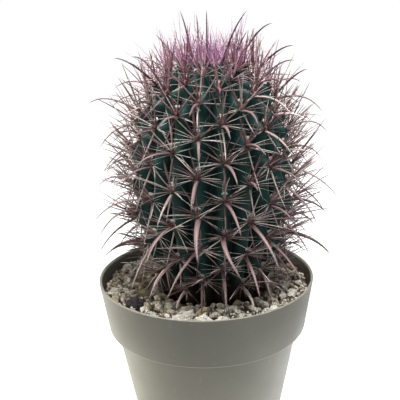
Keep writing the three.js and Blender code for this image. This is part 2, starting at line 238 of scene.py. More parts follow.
def pot_plastic():
    finish = Finish("pot_plastic", 0.5, 0.35)
    cloudy = finish.noise(0.018, 4)
    base = finish.ramp(cloudy, (0.3, (0.197, 0.191, 0.156)), (0.7, (0.221, 0.214, 0.177)))
    scuffs = finish.ramp(finish.noise(0.12, 6, 0.7, (1, 1, 0.25)), (0.62, 0.0), (0.78, 0.3))
    worn = finish.mix(scuffs, base, (0.40, 0.39, 0.35))
    specks = finish.ramp(finish.cells(0.09), (0.03, 0.7), (0.05, 0.0))
    marked = finish.mix(specks, worn, (0.50, 0.49, 0.45))
    # Painted highlight: a pale line along the band's lower edge.
    lined = finish.mix(finish.attribute("edge"), marked, (0.50, 0.49, 0.40))
    # Painted shade: the inner wall below the lip is mixed to near-black olive.
    finish.colour(finish.mix(finish.attribute("inner_wall_shade"), lined, (0.034, 0.033, 0.021)))
    finish.rough(finish.noise(0.06, 5), 0.42, 0.62)
    return finish.bump(finish.noise(1.1, 2), 0.03).bump(finish.noise(0.05, 2), 0.12).material


def potting_soil():
    finish = Finish("potting_soil", 0.95, 0.2)
    crumbs = finish.noise(0.35, 6, 0.7)
    base = finish.ramp(
        crumbs, (0.3, (0.016, 0.012, 0.010)), (0.55, (0.055, 0.040, 0.030)), (0.8, (0.15, 0.11, 0.075))
    )
    finish.colour(base)
    return finish.bump(crumbs, 1.5).bump(finish.cells(0.5), 0.6).material


def pumice():
    finish = Finish("pumice", 0.92, 0.25)
    base = finish.ramp(
        finish.attribute("tint"),
        (0.0, (0.15, 0.12, 0.10)),
        (0.12, (0.38, 0.31, 0.21)),
        (0.28, (0.50, 0.39, 0.24)),
        (0.45, (0.57, 0.54, 0.44)),
        (0.7, (0.70, 0.66, 0.56)),
        (1.0, (0.78, 0.76, 0.68)),
    )
    shade = finish.ramp(finish.noise(0.45, 5, 0.65), (0.36, 0.34), (0.54, 0.0))
    mottled = finish.mix(shade, base, (0.42, 0.33, 0.22))
    pores = finish.ramp(finish.cells(0.9), (0.08, 0.7), (0.20, 0.0))
    finish.colour(finish.mix(pores, mottled, (0.18, 0.13, 0.08)))
    return finish.bump(finish.noise(0.7, 5, 0.7), 1.2).bump(finish.cells(0.9), 0.6).material


def lava():
    finish = Finish("lava", 0.88, 0.3)
    mottle = finish.noise(0.25, 5, 0.65)
    finish.colour(finish.ramp(mottle, (0.3, (0.018, 0.015, 0.020)), (0.75, (0.075, 0.060, 0.066))))
    return finish.bump(finish.cells(0.55), 1.1).bump(finish.noise(0.8, 5, 0.7), 0.8).material


def cactus_skin():
    """Deep blue-green, a little paler along the crests, partly as painted highlight, near black in the
    furrows as painted shade, with fine flecks, and corky brown at the foot.
    """
    finish = Finish("cactus_skin", 0.4, 0.2)
    cloudy = finish.noise(0.06, 4)
    green = finish.ramp(cloudy, (0.3, (0.0018, 0.0165, 0.0145)), (0.7, (0.006, 0.036, 0.032)))
    # Paler teal along the crests: partly a real pale crest line, partly painted highlight.
    crest = finish.ramp(finish.attribute("crest"), (0.45, 0.0), (0.8, 0.35), (0.93, 0.5), (1.0, 0.6))
    lined = finish.mix(crest, green, (0.017, 0.072, 0.060))
    # Painted shade: near black in the furrows between the ribs.
    furrow_shade = finish.ramp(finish.attribute("crest"), (0.05, 0.95), (0.55, 0.0))
    furrow_shaded = finish.mix(furrow_shade, lined, (0.001, 0.005, 0.005))
    flecks = finish.ramp(finish.cells(0.55), (0.08, 0.45), (0.16, 0.0))
    flecked = finish.mix(flecks, furrow_shaded, (0.10, 0.18, 0.15))
    young = finish.ramp(finish.attribute("age"), (0.0, 0.6), (0.3, 0.0))
    fresh = finish.mix(young, flecked, (0.009, 0.040, 0.030))
    ragged = finish.calculate("MULTIPLY", finish.noise(0.12, 5), 0.16)
    edge = finish.calculate("ADD", finish.attribute("age"), ragged)
    cork = finish.ramp(edge, (0.93, 0.0), (1.0, 0.9))
    finish.colour(finish.mix(cork, fresh, (0.034, 0.026, 0.020)))
    finish.rough(finish.noise(0.2, 4), 0.36, 0.60)
    finish.bump(finish.noise(0.22, 5, 0.6), 0.6).bump(finish.noise(1.6, 2), 0.05)
    return finish.material


def spine_horn(name, root, middle, tip, pale, dark, young):
    """Horny spines: colours at the root, middle and tip, some paler or darker, and young ones redder."""
    finish = Finish(name, 0.45, 0.4)
    along = finish.attribute("along")
    tint = finish.attribute("tint")
    base = finish.ramp(along, (0.0, root), (0.2, middle), (0.5, middle), (0.85, tip))
    bleached = finish.mix(finish.ramp(tint, (0.6, 0.0), (0.88, 0.85)), base, pale)
    shaded = finish.mix(finish.ramp(tint, (0.12, 0.9), (0.38, 0.0)), bleached, dark)
    fresh = finish.mix(finish.ramp(finish.attribute("age"), (0.12, 0.6), (0.34, 0.0)), shaded, young)
    streaks = finish.ramp(finish.noise(0.5, 4, 0.6), (0.35, 0.4), (0.6, 0.0))
    finish.colour(finish.mix(streaks, fresh, root))
    spread = finish.node("ShaderNodeCombineXYZ", {"X": along, "Y": tint}).outputs["Vector"]
    inputs = {"Scale": 5.5, "Distortion": 1.2, "Detail": 1.0, "Vector": spread}
    rings = finish.node("ShaderNodeTexWave", inputs, wave_type="BANDS", bands_direction="X")
    return finish.bump(rings.outputs["Fac"], 0.12).material


def areole_wool():
    """Felt: brown-grey over the spines' roots, and a near-white tuft above."""
    finish = Finish("areole_wool", 0.95, 0.2)
    felt = finish.noise(1.2, 4, 0.7)
    brown = finish.ramp(felt, (0.3, (0.15, 0.065, 0.070)), (0.7, (0.30, 0.19, 0.18)))
    white = finish.ramp(felt, (0.3, (0.55, 0.54, 0.49)), (0.7, (0.88, 0.87, 0.82)))
    finish.colour(finish.mix(finish.attribute("tint"), brown, white))
    finish.shader.inputs["Sheen Weight"].default_value = 0.3
    return finish.bump(felt, 0.4).material


# ---- The stem's shape, as the frame's stem has it ----
CREST_STEPS = 400


def crest_line(steps):
    """The crest from crown to foot: distance along it, radius and height above the gravel."""
    rows = []
    for i in range(steps + 1):
        angle = math.pi / 2 * (1 - i / steps)
        radius = STEM_RADIUS * math.cos(angle) ** (2 / SHOULDER_POWER) if i else 0.0
        rise = math.sin(angle) ** (2 / SHOULDER_POWER)
        rows.append((radius, WIDEST_AT + (STEM_HEIGHT - WIDEST_AT) * rise))
    foot = SOIL_TOP - GRAVEL_LEVEL
    for i in range(1, steps + 1):
        height = blend(WIDEST_AT, foot, i / steps)
        below = (WIDEST_AT - height) / WIDEST_AT
        rows.append((STEM_RADIUS * (1 - WAIST * below**WAIST_POWER), height))
    line = np.array(rows)
    lengths = np.hypot(*np.diff(line, axis=0).T)
    return np.concatenate([[0], np.cumsum(lengths)]), line[:, 0], line[:, 1]


ALONG, CREST_RADII, CREST_HEIGHTS = crest_line(CREST_STEPS)
CREST_LENGTH = float(ALONG[-1])


def crest_at(distance):
    """Radius, height and the outward normal's two parts at a distance from the crown's centre."""
    d = min(max(distance, 0.0), CREST_LENGTH)
    i = min(max(int(np.searchsorted(ALONG, d)), 1), len(ALONG) - 1)
    span = ALONG[i] - ALONG[i - 1]
    s = (d - ALONG[i - 1]) / span
    radius = blend(CREST_RADII[i - 1], CREST_RADII[i], s)
    height = blend(CREST_HEIGHTS[i - 1], CREST_HEIGHTS[i], s)
    normal_out = (CREST_HEIGHTS[i - 1] - CREST_HEIGHTS[i]) / span
    normal_up = (CREST_RADII[i] - CREST_RADII[i - 1]) / span
    return radius, height, normal_out, normal_up


def areole_distance(count):
    """How far down the crest an areole is, by its count from the crown. The youngest crowd together."""
    return AREOLE_SPACING * (count - CROWN_CROWDING * (1 - math.exp(-count / CROWN_CROWDING)))


COUNTS = np.linspace(0, 12, 2401)
COUNT_DISTANCES = np.array([areole_distance(c) for c in COUNTS])


def areole_count(distance):
    return float(np.interp(distance, COUNT_DISTANCES, COUNTS))


def rib_angle(rib):
    return FIRST_RIB_ANGLE + 2 * math.pi * rib / RIBS


def rib_shift(rib):
    return (-rib * AREOLE_STEP) % 1.0


def rib_depth(distance):
    begun = 1 - math.exp(-distance / RIB_START)
    return RIB_DEPTH * begun * (1 - RIB_FOOT_LOSS * smooth_step(0.72, 1, distance / CREST_LENGTH))


SWELL_RISE = 1.8
CROWN_SWELL_RISE = 1.9
SWELL_LAG = 0.06
SWELL_SHARPNESS = 0.25
SWELL_POWER = 1.2
FURROW_POWER = 1.45


def tubercle(distance, rib):
    """How far a rib's crest swells at each areole, and more on the crown."""
    turn = areole_count(distance) - rib_shift(rib % RIBS) - SWELL_LAG
    swell = math.cos(2 * math.pi * turn) + SWELL_SHARPNESS * math.cos(4 * math.pi * turn)
    rise = SWELL_RISE + CROWN_SWELL_RISE * (1 - smooth_step(35, 150, distance))
    return rise * swell * smooth_step(3, 26, distance)


def skin_point(distance, rib, phase):
    """A point of the skin. Phase is 0 on a rib's crest, and 1 or -1 in the furrows beside it."""
    radius, height, normal_out, normal_up = crest_at(distance)
    across = abs(phase)
    settled = smooth_step(2, 12, height)
    swell = tubercle(distance, rib) * settled * max(0.0, 1 - across) ** SWELL_POWER
    lift = swell - rib_depth(distance) * across**FURROW_POWER
    angle = rib_angle(rib + phase / 2)
    reach = max(radius + lift * normal_out, 0.0)
    z = GRAVEL_LEVEL + height + lift * normal_up
    return Vector((reach * math.sin(angle) + STEM_OFFSET, -reach * math.cos(angle), z))


# ---- The stem ----
STEM_COLUMNS = RIBS * 16
STEM_ROWS = 176
STEM_ROW_POWER = 1.08


def make_stem():
    bm = bmesh.new()
    along = bm.verts.layers.float.new("age")
    verts = []
    for i in range(STEM_ROWS + 1):
        distance = CREST_LENGTH * (i / STEM_ROWS) ** STEM_ROW_POWER
        radius, height, _, _ = crest_at(distance)
        vert = bm.verts.new((0, -radius, height))
        vert[along] = distance / CREST_LENGTH
        verts.append(vert)
    foot = bm.verts.new((0, 0, SOIL_TOP - GRAVEL_LEVEL))
    foot[along] = 1
    verts.append(foot)
    edges = [bm.edges.new(pair) for pair in zip(verts, verts[1:])]
    spin_round(bm, verts + edges, STEM_COLUMNS, merge=1e-3)
    crest = bm.verts.layers.float.new("crest")
    for vert in bm.verts:
        if vert.co.xy.length < 1e-3:
            vert.co = Vector((STEM_OFFSET, 0, GRAVEL_LEVEL + vert.co.z))
            continue
        turn = (math.atan2(vert.co.x, -vert.co.y) - FIRST_RIB_ANGLE) / (2 * math.pi / RIBS)
        rib = round(turn)
        phase = 2 * (turn - rib)
        place = skin_point(vert[along] * CREST_LENGTH, rib, phase)
        rough = noise.noise(place / 9) * 0.45 + noise.noise(place / 3) * 0.12
        out = Vector((place.x - STEM_OFFSET, place.y, 0)).normalized()
        if vert[along] > 0.9999:
            vert.co = place
            vert.co.z = SOIL_TOP
        else:
            vert.co = place + out * rough
        # The crest share drives the painted highlight on the crests and the painted shade in the furrows.
        vert[crest] = 1 - abs(phase)
    return finish_piece(bm, "stem", SKIN)


# ---- Areoles ----
class Areole:
    """Where an areole is, and its ways out from the skin, up the rib and to its right."""

    def __init__(self, rib, count):
        self.rib = rib
        self.count = count
        self.row = math.floor(count)
        self.distance = areole_distance(count)
        _, self.height, normal_out, normal_up = crest_at(self.distance)
        angle = rib_angle(rib)
        outward = Vector((math.sin(angle), -math.cos(angle), 0))
        self.right = Vector((math.cos(angle), math.sin(angle), 0))
        self.out = (outward * normal_out + UP * normal_up).normalized()
        self.up = -self.right.cross(self.out)
        self.at = skin_point(self.distance, rib, 0)
        self.age = self.distance / CREST_LENGTH

    def draw(self, salt, spread=1.0):
        """A fixed random number for this areole, from -spread/2 to spread/2."""
        return (scatter(self.rib + RIBS * self.row, salt, 3) - 0.5) * spread

    def toward(self, out, up, side):
        return (self.out * out + self.up * up + self.right * side).normalized()


def all_areoles():
    found = []
    for rib in range(RIBS):
        count = rib_shift(rib)
        while areole_distance(count) < CREST_LENGTH:
            areole = Areole(rib, count)
            if count > 0.3 and areole.height > LOWEST_AREOLE:
                found.append(areole)
            count += 1
    return found


# ---- Spines ----
def needle_template(sides, rings):
    """A needle of length 1 along Z and radius 1, fullest near its root, as a mesh to copy."""
    bm = bmesh.new()
    root_at_zero = Matrix.Translation((0, 0, 0.5))
    bmesh.ops.create_cone(
        bm, cap_ends=True, segments=sides, radius1=1, radius2=0, depth=1, matrix=root_at_zero
    )
    bmesh.ops.remove_doubles(bm, verts=bm.verts, dist=1e-6)
    lengthwise = [e for e in bm.edges if abs(e.verts[0].co.z - e.verts[1].co.z) > 0.5]
    bmesh.ops.subdivide_edges(bm, edges=lengthwise, cuts=rings, use_grid_fill=True)
    for vert in bm.verts:
        t = min(max(vert.co.z, 0.0), 1.0)
        fullness = (1 - t) ** -0.5 if t < 0.999 else 1
        vert.co.x *= fullness
        vert.co.y *= fullness
    bm.normal_update()
    bmesh.ops.recalc_face_normals(bm, faces=bm.faces)
    mesh = bpy.data.meshes.new("needle_template")
    bm.to_mesh(mesh)
    bm.free()
    return mesh


class Spines:
    """Many needles in one mesh, each bent along its own curve."""

    def __init__(self, sides, rings):
        self.template = needle_template(sides, rings)
        self.grown = []

    def grow(self, curve, width, flat, tint, age):
        """Adds a needle along a curve of t from 0 to 1, in millimetres."""
        self.grown.append((curve, width, flat, tint, age))

    def piece(self, name, slot, material):
        bm = bmesh.new()
        for _ in self.grown:
            bm.from_mesh(self.template)
        names = ("along", "tint", "age")
        along_layer, tint_layer, age_layer = (bm.verts.layers.float.new(n) for n in names)
        each = len(self.template.vertices)
        for i, vert in enumerate(bm.verts):
            if i % each == 0:
                curve, width, flat, tint, age = self.grown[i // each]
                frames = {}
            t = min(max(vert.co.z, 0.0), 1.0)
            key = round(t, 4)
            if key not in frames:
                here = curve(t)
                tangent = (curve(min(t + 0.01, 1)) - curve(max(t - 0.01, 0))).normalized()
                side = tangent.cross(UP).normalized()
                frames[key] = here, side * (width / 2), tangent.cross(side) * (width / 2 * flat)
            here, side, thick = frames[key]
            vert.co = here + side * vert.co.x + thick * vert.co.y
            vert[along_layer] = t
            vert[tint_layer] = tint
            vert[age_layer] = age
        finish_piece(bm, name, material)


# How near the rim's outer edge a spine has to pass over it, how high above, and how far it may dip among
# the stones.
RIM_ZONE_INSIDE = 5
RIM_ZONE_OUTSIDE = 6
RIM_CLEARANCE = 1.4
STONE_DIP = 1.5
LIFT_STEP = 0.9
LIFTS = 90


def lowest_at(point):
    """The lowest that a spine may pass: over the stones, over the rim, and free outside the pot."""
    past_rim = math.hypot(point.x, point.y) - RIM_RADIUS
    if past_rim > RIM_ZONE_OUTSIDE:
        return 0
    return POT_HEIGHT + RIM_CLEARANCE if past_rim > -RIM_ZONE_INSIDE else STONE_TOP - STONE_DIP


def spine_curve(root, direction, length, sag, hook):
    """A curve that leaves along a direction, sags and hooks. It's raised until clear of stones and rim."""
    lift = 0.0
    for _ in range(LIFTS):
        middle = root + direction * length * 0.5 + UP * lift * 0.4
        tip = root + direction * length + UP * (lift - sag * length)

        def curve(t, middle=middle, tip=tip):
            return root * (1 - t) ** 2 + middle * 2 * (1 - t) * t + tip * t * t + hook * t**3

        if all(curve(t).z >= lowest_at(curve(t)) for t in (0.3, 0.45, 0.6, 0.7, 0.8, 0.9, 1)):
            break
        lift += LIFT_STEP
    return curve


# An areole's spines reach full size round this count down the rib, from so much before to so much after.
MATURE_AT = 2.2
MATURING_BEFORE = 1.6
MATURING_AFTER = 1.4


def grown_share(areole):
    return smooth_step(MATURE_AT - MATURING_BEFORE, MATURE_AT + MATURING_AFTER, areole.count)


# A kind of spine: the angle in degrees round the areole from straight up the rib, the share of its direction
# that points away from the skin, length, width, thickness as a share of the width, how far it sags, how far
# its tip bends outward and upward as shares of the length, and how much paler it is than the others.
Kind = namedtuple("Kind", "turn out length width flat sag hook paler", defaults=(0,))

LOWER = Kind(180, 0.94, 33, 3.2, 0.5, 0.12, (-0.04, -0.26), 0.22)
UPPER = Kind(0, 0.70, 36, 1.4, 0.85, 0.01, (0.0, -0.03))
SIDES = Kind(50, 0.72, 38, 1.4, 0.85, 0.01, (0.0, -0.03))
HIGH_RAYS = Kind(24, 0.68, 35, 1.0, 1, 0.0, (0.0, -0.02))
LOW_RAYS = Kind(98, 0.62, 30, 0.9, 0.9, 0.03, (0.0, -0.04))
CREST_RAY = Kind(180, 0.36, 31, 1.4, 0.8, 0, (0.0, -0.02), 0.22)
CREST_UPPER = Kind(3, 0.48, 30, 1.25, 0.9, 0, (0.0, -0.02), 0.22)
FINE_RAYS = Kind(70, 0.62, 28, 0.6, 1, 0.02, (0.0, -0.03))
FINE_UPPER = Kind(38, 0.78, 34, 0.75, 1, 0.01, (0.0, -0.03))
CROWN_FINE = Kind(20, 0.84, 43, 0.68, 1, 0, (0.0, 0.0))
CROWN_LONG = Kind(0, 0.95, 36, 2.2, 0.85, 0, (0.0, -0.12))
ARCHING = LOWER._replace(sag=0.2, hook=(-0.04, -0.36))
CENTRALS = {"lower": (LOWER, 0), "upper": (UPPER, 0), "right": (SIDES, 1), "left": (SIDES, -1)}


def on_both_sides(*kinds):
    return [(kind, side) for kind in kinds for side in (1, -1)]


COARSE_RAYS = on_both_sides(HIGH_RAYS, LOW_RAYS) + [(CREST_RAY, 0), (CREST_UPPER, 0)]
ALL_RAYS = COARSE_RAYS + on_both_sides(FINE_RAYS, FINE_UPPER)
BRISTLE_TURNS = (78, 106, 92, 62)
BRISTLE_LENGTH = 21.5
BRISTLE_WIDTH = 0.42

# The plainest spines, by the areole's rib and its place down the rib: the angle round the areole from
# straight up the rib, the share of its direction that points out, its length and how far it bends right.
# Nearly all the angles, shares and lengths here, in ARCHING_SPINES and in LONG_CROWN_SPINES come from a
# search for the curves nearest to points picked on the photograph.
PLAIN_SPINES = {
    (20, 4): {"lower": (139, 0.96, 27, 0), "right": (55, 0.62, 28, 0)},
    (19, 3): {"left": (-46, 0.63, 34, 0), "lower": (149, 0.98, 29, -0.1)},
    (0, 4): {
        "right": (53, 0.63, 33, 0), "left": (-48, 0.71, 28, 0),
        "upper": (-3, 0.84, 29, 0), "lower": (161, 0.99, 27, 0),
    },
    (1, 4): {"lower": (-48, 0.99, 32, 0.1), "right": (9, 0.84, 28, 0), "upper": (-27, 0.54, 27, 0)},
    (0, 5): {"lower": (115, 0.99, 29, 0), "right": (49, 0.79, 26, 0), "left": (-55, 0.61, 26, 0)},
    (20, 5): {"lower": (170, 0.99, 30, 0), "left": (-51, 0.74, 26, 0), "right": (55, 0.47, 26, 0)},
    (0, 6): {"lower": (126, 0.98, 32, 0), "left": (-49, 0.65, 26, 0), "right": (41, 0.76, 26, 0)},
    (1, 5): {"lower": (-38, 0.90, 27, 0.1), "right": (29, 0.44, 31, 0)},
    (19, 4): {"lower": (-87, 0.96, 35, -0.05), "left": (-37, 0.80, 31, 0)},
    (20, 6): {"lower": (158, 0.99, 37, 0.1)},
    (19, 6): {"lower": (-30, 0.99, 40, 0.08)},
    (1, 6): {"lower": (150, 0.99, 40, 0)},
    (1, 7): {"lower": (-85, 0.99, 35, 0)},
    (2, 8): {"lower": (-69, 0.88, 27, 0)},
    (19, 7): {"lower": (-61, 0.98, 37, 0.05)},
    (20, 7): {"lower": (-100, 0.90, 37, 0)},
    (0, 8): {"lower": (-165, 0.98, 29, 0)},
    (2, 5): {"lower": (120, 0.95, 27, 0)},
    (2, 7): {"lower": (150, 0.95, 38, 0)},
    (3, 6): {"lower": (165, 0.90, 27, 0)},
    (4, 6): {"lower": (-44, 0.97, 28, 0)},
    (4, 7): {"lower": (-40, 0.96, 38, 0)},
    (16, 3): {"lower": (9, 0.98, 48, 0)},
    (16, 6): {"lower": (107, 0.94, 36, 0)},
    (17, 7): {"lower": (-1, 0.88, 34, 0)},
}
# The same four numbers for the lower spines that arch most, by rib and place down the rib.
ARCHING_SPINES = {
    (0, 7): (324, 0.96, 38, 0.35),
    (16, 7): (10, 0.82, 40, 0),
    (17, 6): (29, 0.95, 38, 0),
    (18, 6): (-60, 0.87, 48, 0),
    (16, 5): (9, 0.90, 32, 0),
    (15, 4): (122, 0.88, 32, 0),
    (5, 7): (-51, 0.83, 24, 0),
    (5, 8): (-34, 0.74, 24, 0),
    (4, 3): (180, 0.98, 37, 0),
    (4, 4): (-7, 0.96, 36, 0),
    (5, 5): (-70, 0.91, 26, 0),
}
# Lower spines that are seen flat on or edge on: width, and thickness as a share of it.
FLAT_SPINES = {
    (17, 7): (1.7, 2.0),
    (4, 7): (1.8, 2.0),
    (16, 6): (1.1, 2.0),
    (4, 6): (1.3, 2.0),
    (20, 6): (4.6, 0.4),
    (0, 7): (4.6, 0.4),
    (1, 6): (3.8, 0.45),
    (19, 5): (3.0, 0.5),
}
# The long dark spines of the crown have a fifth number: how far the tip bends down.
LONG_CROWN_SPINES = {
    (17, 1): (312, 0.96, 40, -0.18, 0.02),
    (19, 1): (348, 0.80, 38, -0.05, 0.02),
    (20, 1): (356, 0.92, 40, 0, 0.02),
    (1, 1): (80, 0.96, 48, 0.1, 0.1),
    (4, 1): (220, 0.92, 30, 0.05, 0.04),
    (3, 1): (176, 0.98, 49, 0.1, 0.26),
    (4, 2): (232, 0.98, 42, 0.05, 0.26),
    (3, 2): (76, 0.56, 42, 0.1, 0.24),
    (16, 1): (260, 0.82, 36, -0.1, 0.1),
    (16, 2): (84, 0.98, 43, -0.1, 0.22),
    (18, 3): (320, 0.70, 46, -0.05, 0.34),
    (4, 3): (336, 0.94, 36, 0.05, 0.2),
}
HIGHEST_TIP = 353.0
PLAIN_TINT = 0.63
DARK_TINT = 0.3
ROOT_DEPTH = 1.2
ROOT_REACH = 1.4
# How far draws spread round a kind's own turn in degrees, share pointing out, bend and width.
TURN_SPREAD = 22
OUT_SPREAD = 0.2
BEND_SPREAD = 0.20
WIDTH_SPREAD = 0.24


def spine_on(spines, areole, kind, turn, out, length, bend, width, tint, rise=0.0):
    """Grows one spine. Turn in degrees and out give its direction, and bend how far its tip goes right."""
    turn = math.radians(turn)
    along_skin = math.sqrt(max(0.0, 1 - out**2))
    direction = areole.toward(out, math.cos(turn) * along_skin, math.sin(turn) * along_skin)
    direction = (direction + UP * rise).normalized()
    around = areole.up * math.cos(turn) + areole.right * math.sin(turn)
    root = areole.at - areole.out * ROOT_DEPTH + around * ROOT_REACH
    length = min(length, (HIGHEST_TIP - root.z) / max(direction.z, 0.1))
    outward, upward = kind.hook
    hook = (areole.out * outward + UP * upward + areole.right * bend) * length
    curve = spine_curve(root, direction, length, kind.sag * grown_share(areole), hook)
    spines.grow(curve, width, kind.flat, tint, areole.age)


def length_share(areole):
    """How much of its kind's length a spine has: less near the foot and near the crown."""
    raised = 0.78 + 0.22 * smooth_step(20, 75, areole.height)
    return raised - 0.16 * (1 - smooth_step(2.0, 4.2, areole.count))


def add_spine(spines, areole, kind, side, salt, size=1.0, wander=1.0):
    """Grows one spine of a kind, on the right (1), on the left (-1) or in the middle (0) of an areole."""
    grown = grown_share(areole)
    turn = kind.turn * (side or 1) + areole.draw(salt, TURN_SPREAD) * wander
    narrow = 1 - (1 - kind.out**2) * (0.6 + 0.4 * grown) ** 2
    out = min(math.sqrt(narrow) + areole.draw(salt + 100, OUT_SPREAD) * wander, 1)
    drawn = 0.68 + 0.5 * (0.5 + areole.draw(salt + 300)) ** 2
    length = kind.length * drawn * size * length_share(areole)
    bend = areole.draw(salt + 400, BEND_SPREAD)
    width = kind.width * (0.66 + 0.34 * grown) * (1 + areole.draw(salt + 500, WIDTH_SPREAD))
    tint = 0.5 + areole.draw(salt + 600) + kind.paler
    spine_on(spines, areole, kind, turn, out, length, bend, width, tint, 0.2 * (1 - grown))


def add_centrals(spines, areole):
    """The four central spines: as a table says, where it has them, and else by their kind's rule."""
    here = areole.rib, areole.row
    for i, (name, (kind, side)) in enumerate(CENTRALS.items()):
        plain = PLAIN_SPINES.get(here, {}).get(name)
        if name == "lower" and here in ARCHING_SPINES:
            kind, plain = ARCHING, ARCHING_SPINES[here]
        if name == "lower" and here in FLAT_SPINES:
            width, flat = FLAT_SPINES[here]
            kind = kind._replace(width=width, flat=flat)
        if plain:
            spine_on(spines, areole, kind, *plain, kind.width, PLAIN_TINT)
        else:
            add_spine(spines, areole, kind, side, 1 + i)


# From which counts down the rib an areole has a third and a fourth bristle on each side, and up to which
# its bristles are thicker.
THREE_BRISTLES_FROM = 4
FOUR_BRISTLES_FROM = 6
THICK_BRISTLES_TO = 5
THICKER = 1.4


def add_bristles(spines, areole):
    """Thin bristles fanned to both sides of an areole, close along the skin, and fewer near the crown."""
    each_side = 2 + (areole.count >= THREE_BRISTLES_FROM) + (areole.count >= FOUR_BRISTLES_FROM)
    thickness = BRISTLE_WIDTH * (THICKER if areole.count < THICK_BRISTLES_TO else 1)
    for side in (-1, 1):
        for i, degrees in enumerate(BRISTLE_TURNS[:each_side]):
            salt = 40 + 2 * i + (side > 0)
            turn = math.radians(degrees + areole.draw(salt, 12)) * side
            out = 0.36 + areole.draw(salt + 20, 0.28)
            direction = areole.toward(out, math.cos(turn), math.sin(turn))
            length = BRISTLE_LENGTH * (1 + areole.draw(salt + 40, 0.4))
            root = areole.at + areole.right * side * 1.5 + areole.up * math.cos(turn) * 2 - areole.out * 1.4
            hook = (areole.up * areole.draw(salt + 60, 0.12) - areole.out * 0.03) * length
            curve = spine_curve(root, direction, length, 0.03, hook)
            width = thickness * (1 + areole.draw(salt + 80, 0.4))
            spines.grow(curve, width, 1, 0.5 + areole.draw(salt + 90), areole.age)


# The crown's spines: fine ones, shorter in the middle, thin young centrals, and a few long dark ones.
YOUNG_TO = 2.7
CENTRALS_FROM = YOUNG_TO - 0.7
FINE_RAYS_FROM = 4
FINE_RAYS_ABOVE = 14
BRISTLES_FROM = 2.1
BRISTLES_ABOVE = 18
FINE_EACH = 3
FINE_WANDER = 2.2
YOUNG_WIDTH = 1.1
YOUNG_SIZE = 0.84


def add_crown(spines, areole):
    size = 0.62 + 0.38 * smooth_step(0.3, 2.0, areole.count)
    for i in range(FINE_EACH):
        kind = CROWN_FINE._replace(turn=360 / FINE_EACH * i + CROWN_FINE.turn)
        add_spine(spines, areole, kind, 0, 200 + 7 * i, size, FINE_WANDER)
    for i, (name, (kind, side)) in enumerate(CENTRALS.items()):
        if name != "lower":
            add_spine(spines, areole, kind._replace(width=YOUNG_WIDTH), side, 260 + i, size * YOUNG_SIZE)


def add_long_crown(spines, areole):
    """The long dark spines: those of the table in front, and on the ribs behind one each by the rule."""
    plain = LONG_CROWN_SPINES.get((areole.rib, areole.row))
    if plain:
        *numbers, drop = plain
        kind = CROWN_LONG._replace(hook=(0.0, -drop))
        spine_on(spines, areole, kind, *numbers, kind.width, DARK_TINT)
    elif 5 < areole.rib < 16 and areole.row == 1 + areole.rib % 2:
        add_spine(spines, areole, CROWN_LONG, 0, 290, 1.2)


def make_spines(areoles):
    """All the spines, in five pieces: needles with so many sides and rings each."""
    centrals = Spines(6, 9)
    rays = Spines(5, 6)
    crown = Spines(5, 6)
    dark = Spines(6, 9)
    bristles = Spines(3, 4)
    for areole in areoles:
        if areole.count < YOUNG_TO:
            add_crown(crown, areole)
        add_long_crown(dark, areole)
        if areole.count > CENTRALS_FROM:
            add_centrals(centrals, areole)
            fine_too = areole.count > FINE_RAYS_FROM and areole.height > FINE_RAYS_ABOVE
            for i, (kind, side) in enumerate(ALL_RAYS if fine_too else COARSE_RAYS):
                add_spine(rays, areole, kind, side, 11 + i)
        if areole.count > BRISTLES_FROM and areole.height > BRISTLES_ABOVE:
            add_bristles(bristles, areole)
    centrals.piece("central_spines", "spines", HORN)
    rays.piece("ray_spines", "spines", HORN)
    crown.piece("crown_spines", "young_spines", YOUNG_HORN)
    dark.piece("long_crown_spines", "young_spines", DARK_HORN)
    bristles.piece("bristles", "spines", BRISTLE)


# How far up the rib each felt pad and pale tuft lies from its areole's middle, and its half sizes.
FELT_PAD = (2.6, (1.15, 3.0, 0.55))
PALE_TUFT = (6.2, (2.0, 1.2, 0.55))


def wool_size(areole):
    return 0.6 + 0.4 * grown_share(areole)


def make_wool(areoles):
    """On each areole a felt pad round and above the spines' roots, and a pale tuft at its upper end."""
    bm = bmesh.new()
    tint = bm.verts.layers.float.new("tint")
    for areole in areoles:
        small = wool_size(areole)
        facing = Matrix((areole.right, areole.up, areole.out)).transposed().to_4x4()
        shown = 0.5 + 0.5 * scatter(areole.rib, areole.row, 9)
        for (rise, sizes), pale in ((FELT_PAD, 0.0), (PALE_TUFT, shown)):
            place = Matrix.Translation(areole.at + areole.up * rise * small) @ facing
            shape = Matrix.Diagonal((*(size * small for size in sizes), 1))
            made = bmesh.ops.create_icosphere(bm, subdivisions=2, radius=1, matrix=place @ shape)
            for vert in made["verts"]:
                vert.co += vert.normal * noise.noise(vert.co / 0.8) * 0.45
                vert[tint] = pale
    finish_piece(bm, "areole_wool", WOOL)


# The hairs stand by turns round the pad and round the tuft: how far up the rib, and how far round that.
HAIRS_EACH = 16
HAIR_RINGS = ((2.2, 3.4), (6.2, 0.6))
HAIR_SIDE = 1.5
HAIR_WIDTH = 0.26


def make_hairs(areoles):
    hairs = Spines(3, 2)
    for areole in areoles:
        small = wool_size(areole)
        for i in range(HAIRS_EACH):
            angle = 2 * math.pi * i / HAIRS_EACH + areole.draw(700 + i, 0.5)
            on_tuft = i % 2
            middle, reach = HAIR_RINGS[on_tuft]
            up = middle + reach * math.cos(angle)
            side = HAIR_SIDE * math.sin(angle)
            root = areole.at + (areole.up * up + areole.right * side) * small
            direction = areole.toward(0.9, math.cos(angle), math.sin(angle))
            length = (2.0 + areole.draw(730 + i, 1.6)) * small
            curve = spine_curve(root, direction, length, 0.1, Vector())
            hairs.grow(curve, HAIR_WIDTH, 1, on_tuft, areole.age)
    hairs.piece("areole_hairs", "wool", WOOL)


# ---- The pot ----
POT_STEPS = 192
LIP_DEPTH = 2.2


def band_inside(z):
    """The inner radius of the pot's rim band at a height."""
    return BAND_FOOT_RADIUS + (RIM_RADIUS - BAND_FOOT_RADIUS) * (z - BAND_FOOT) / BAND_HEIGHT - WALL


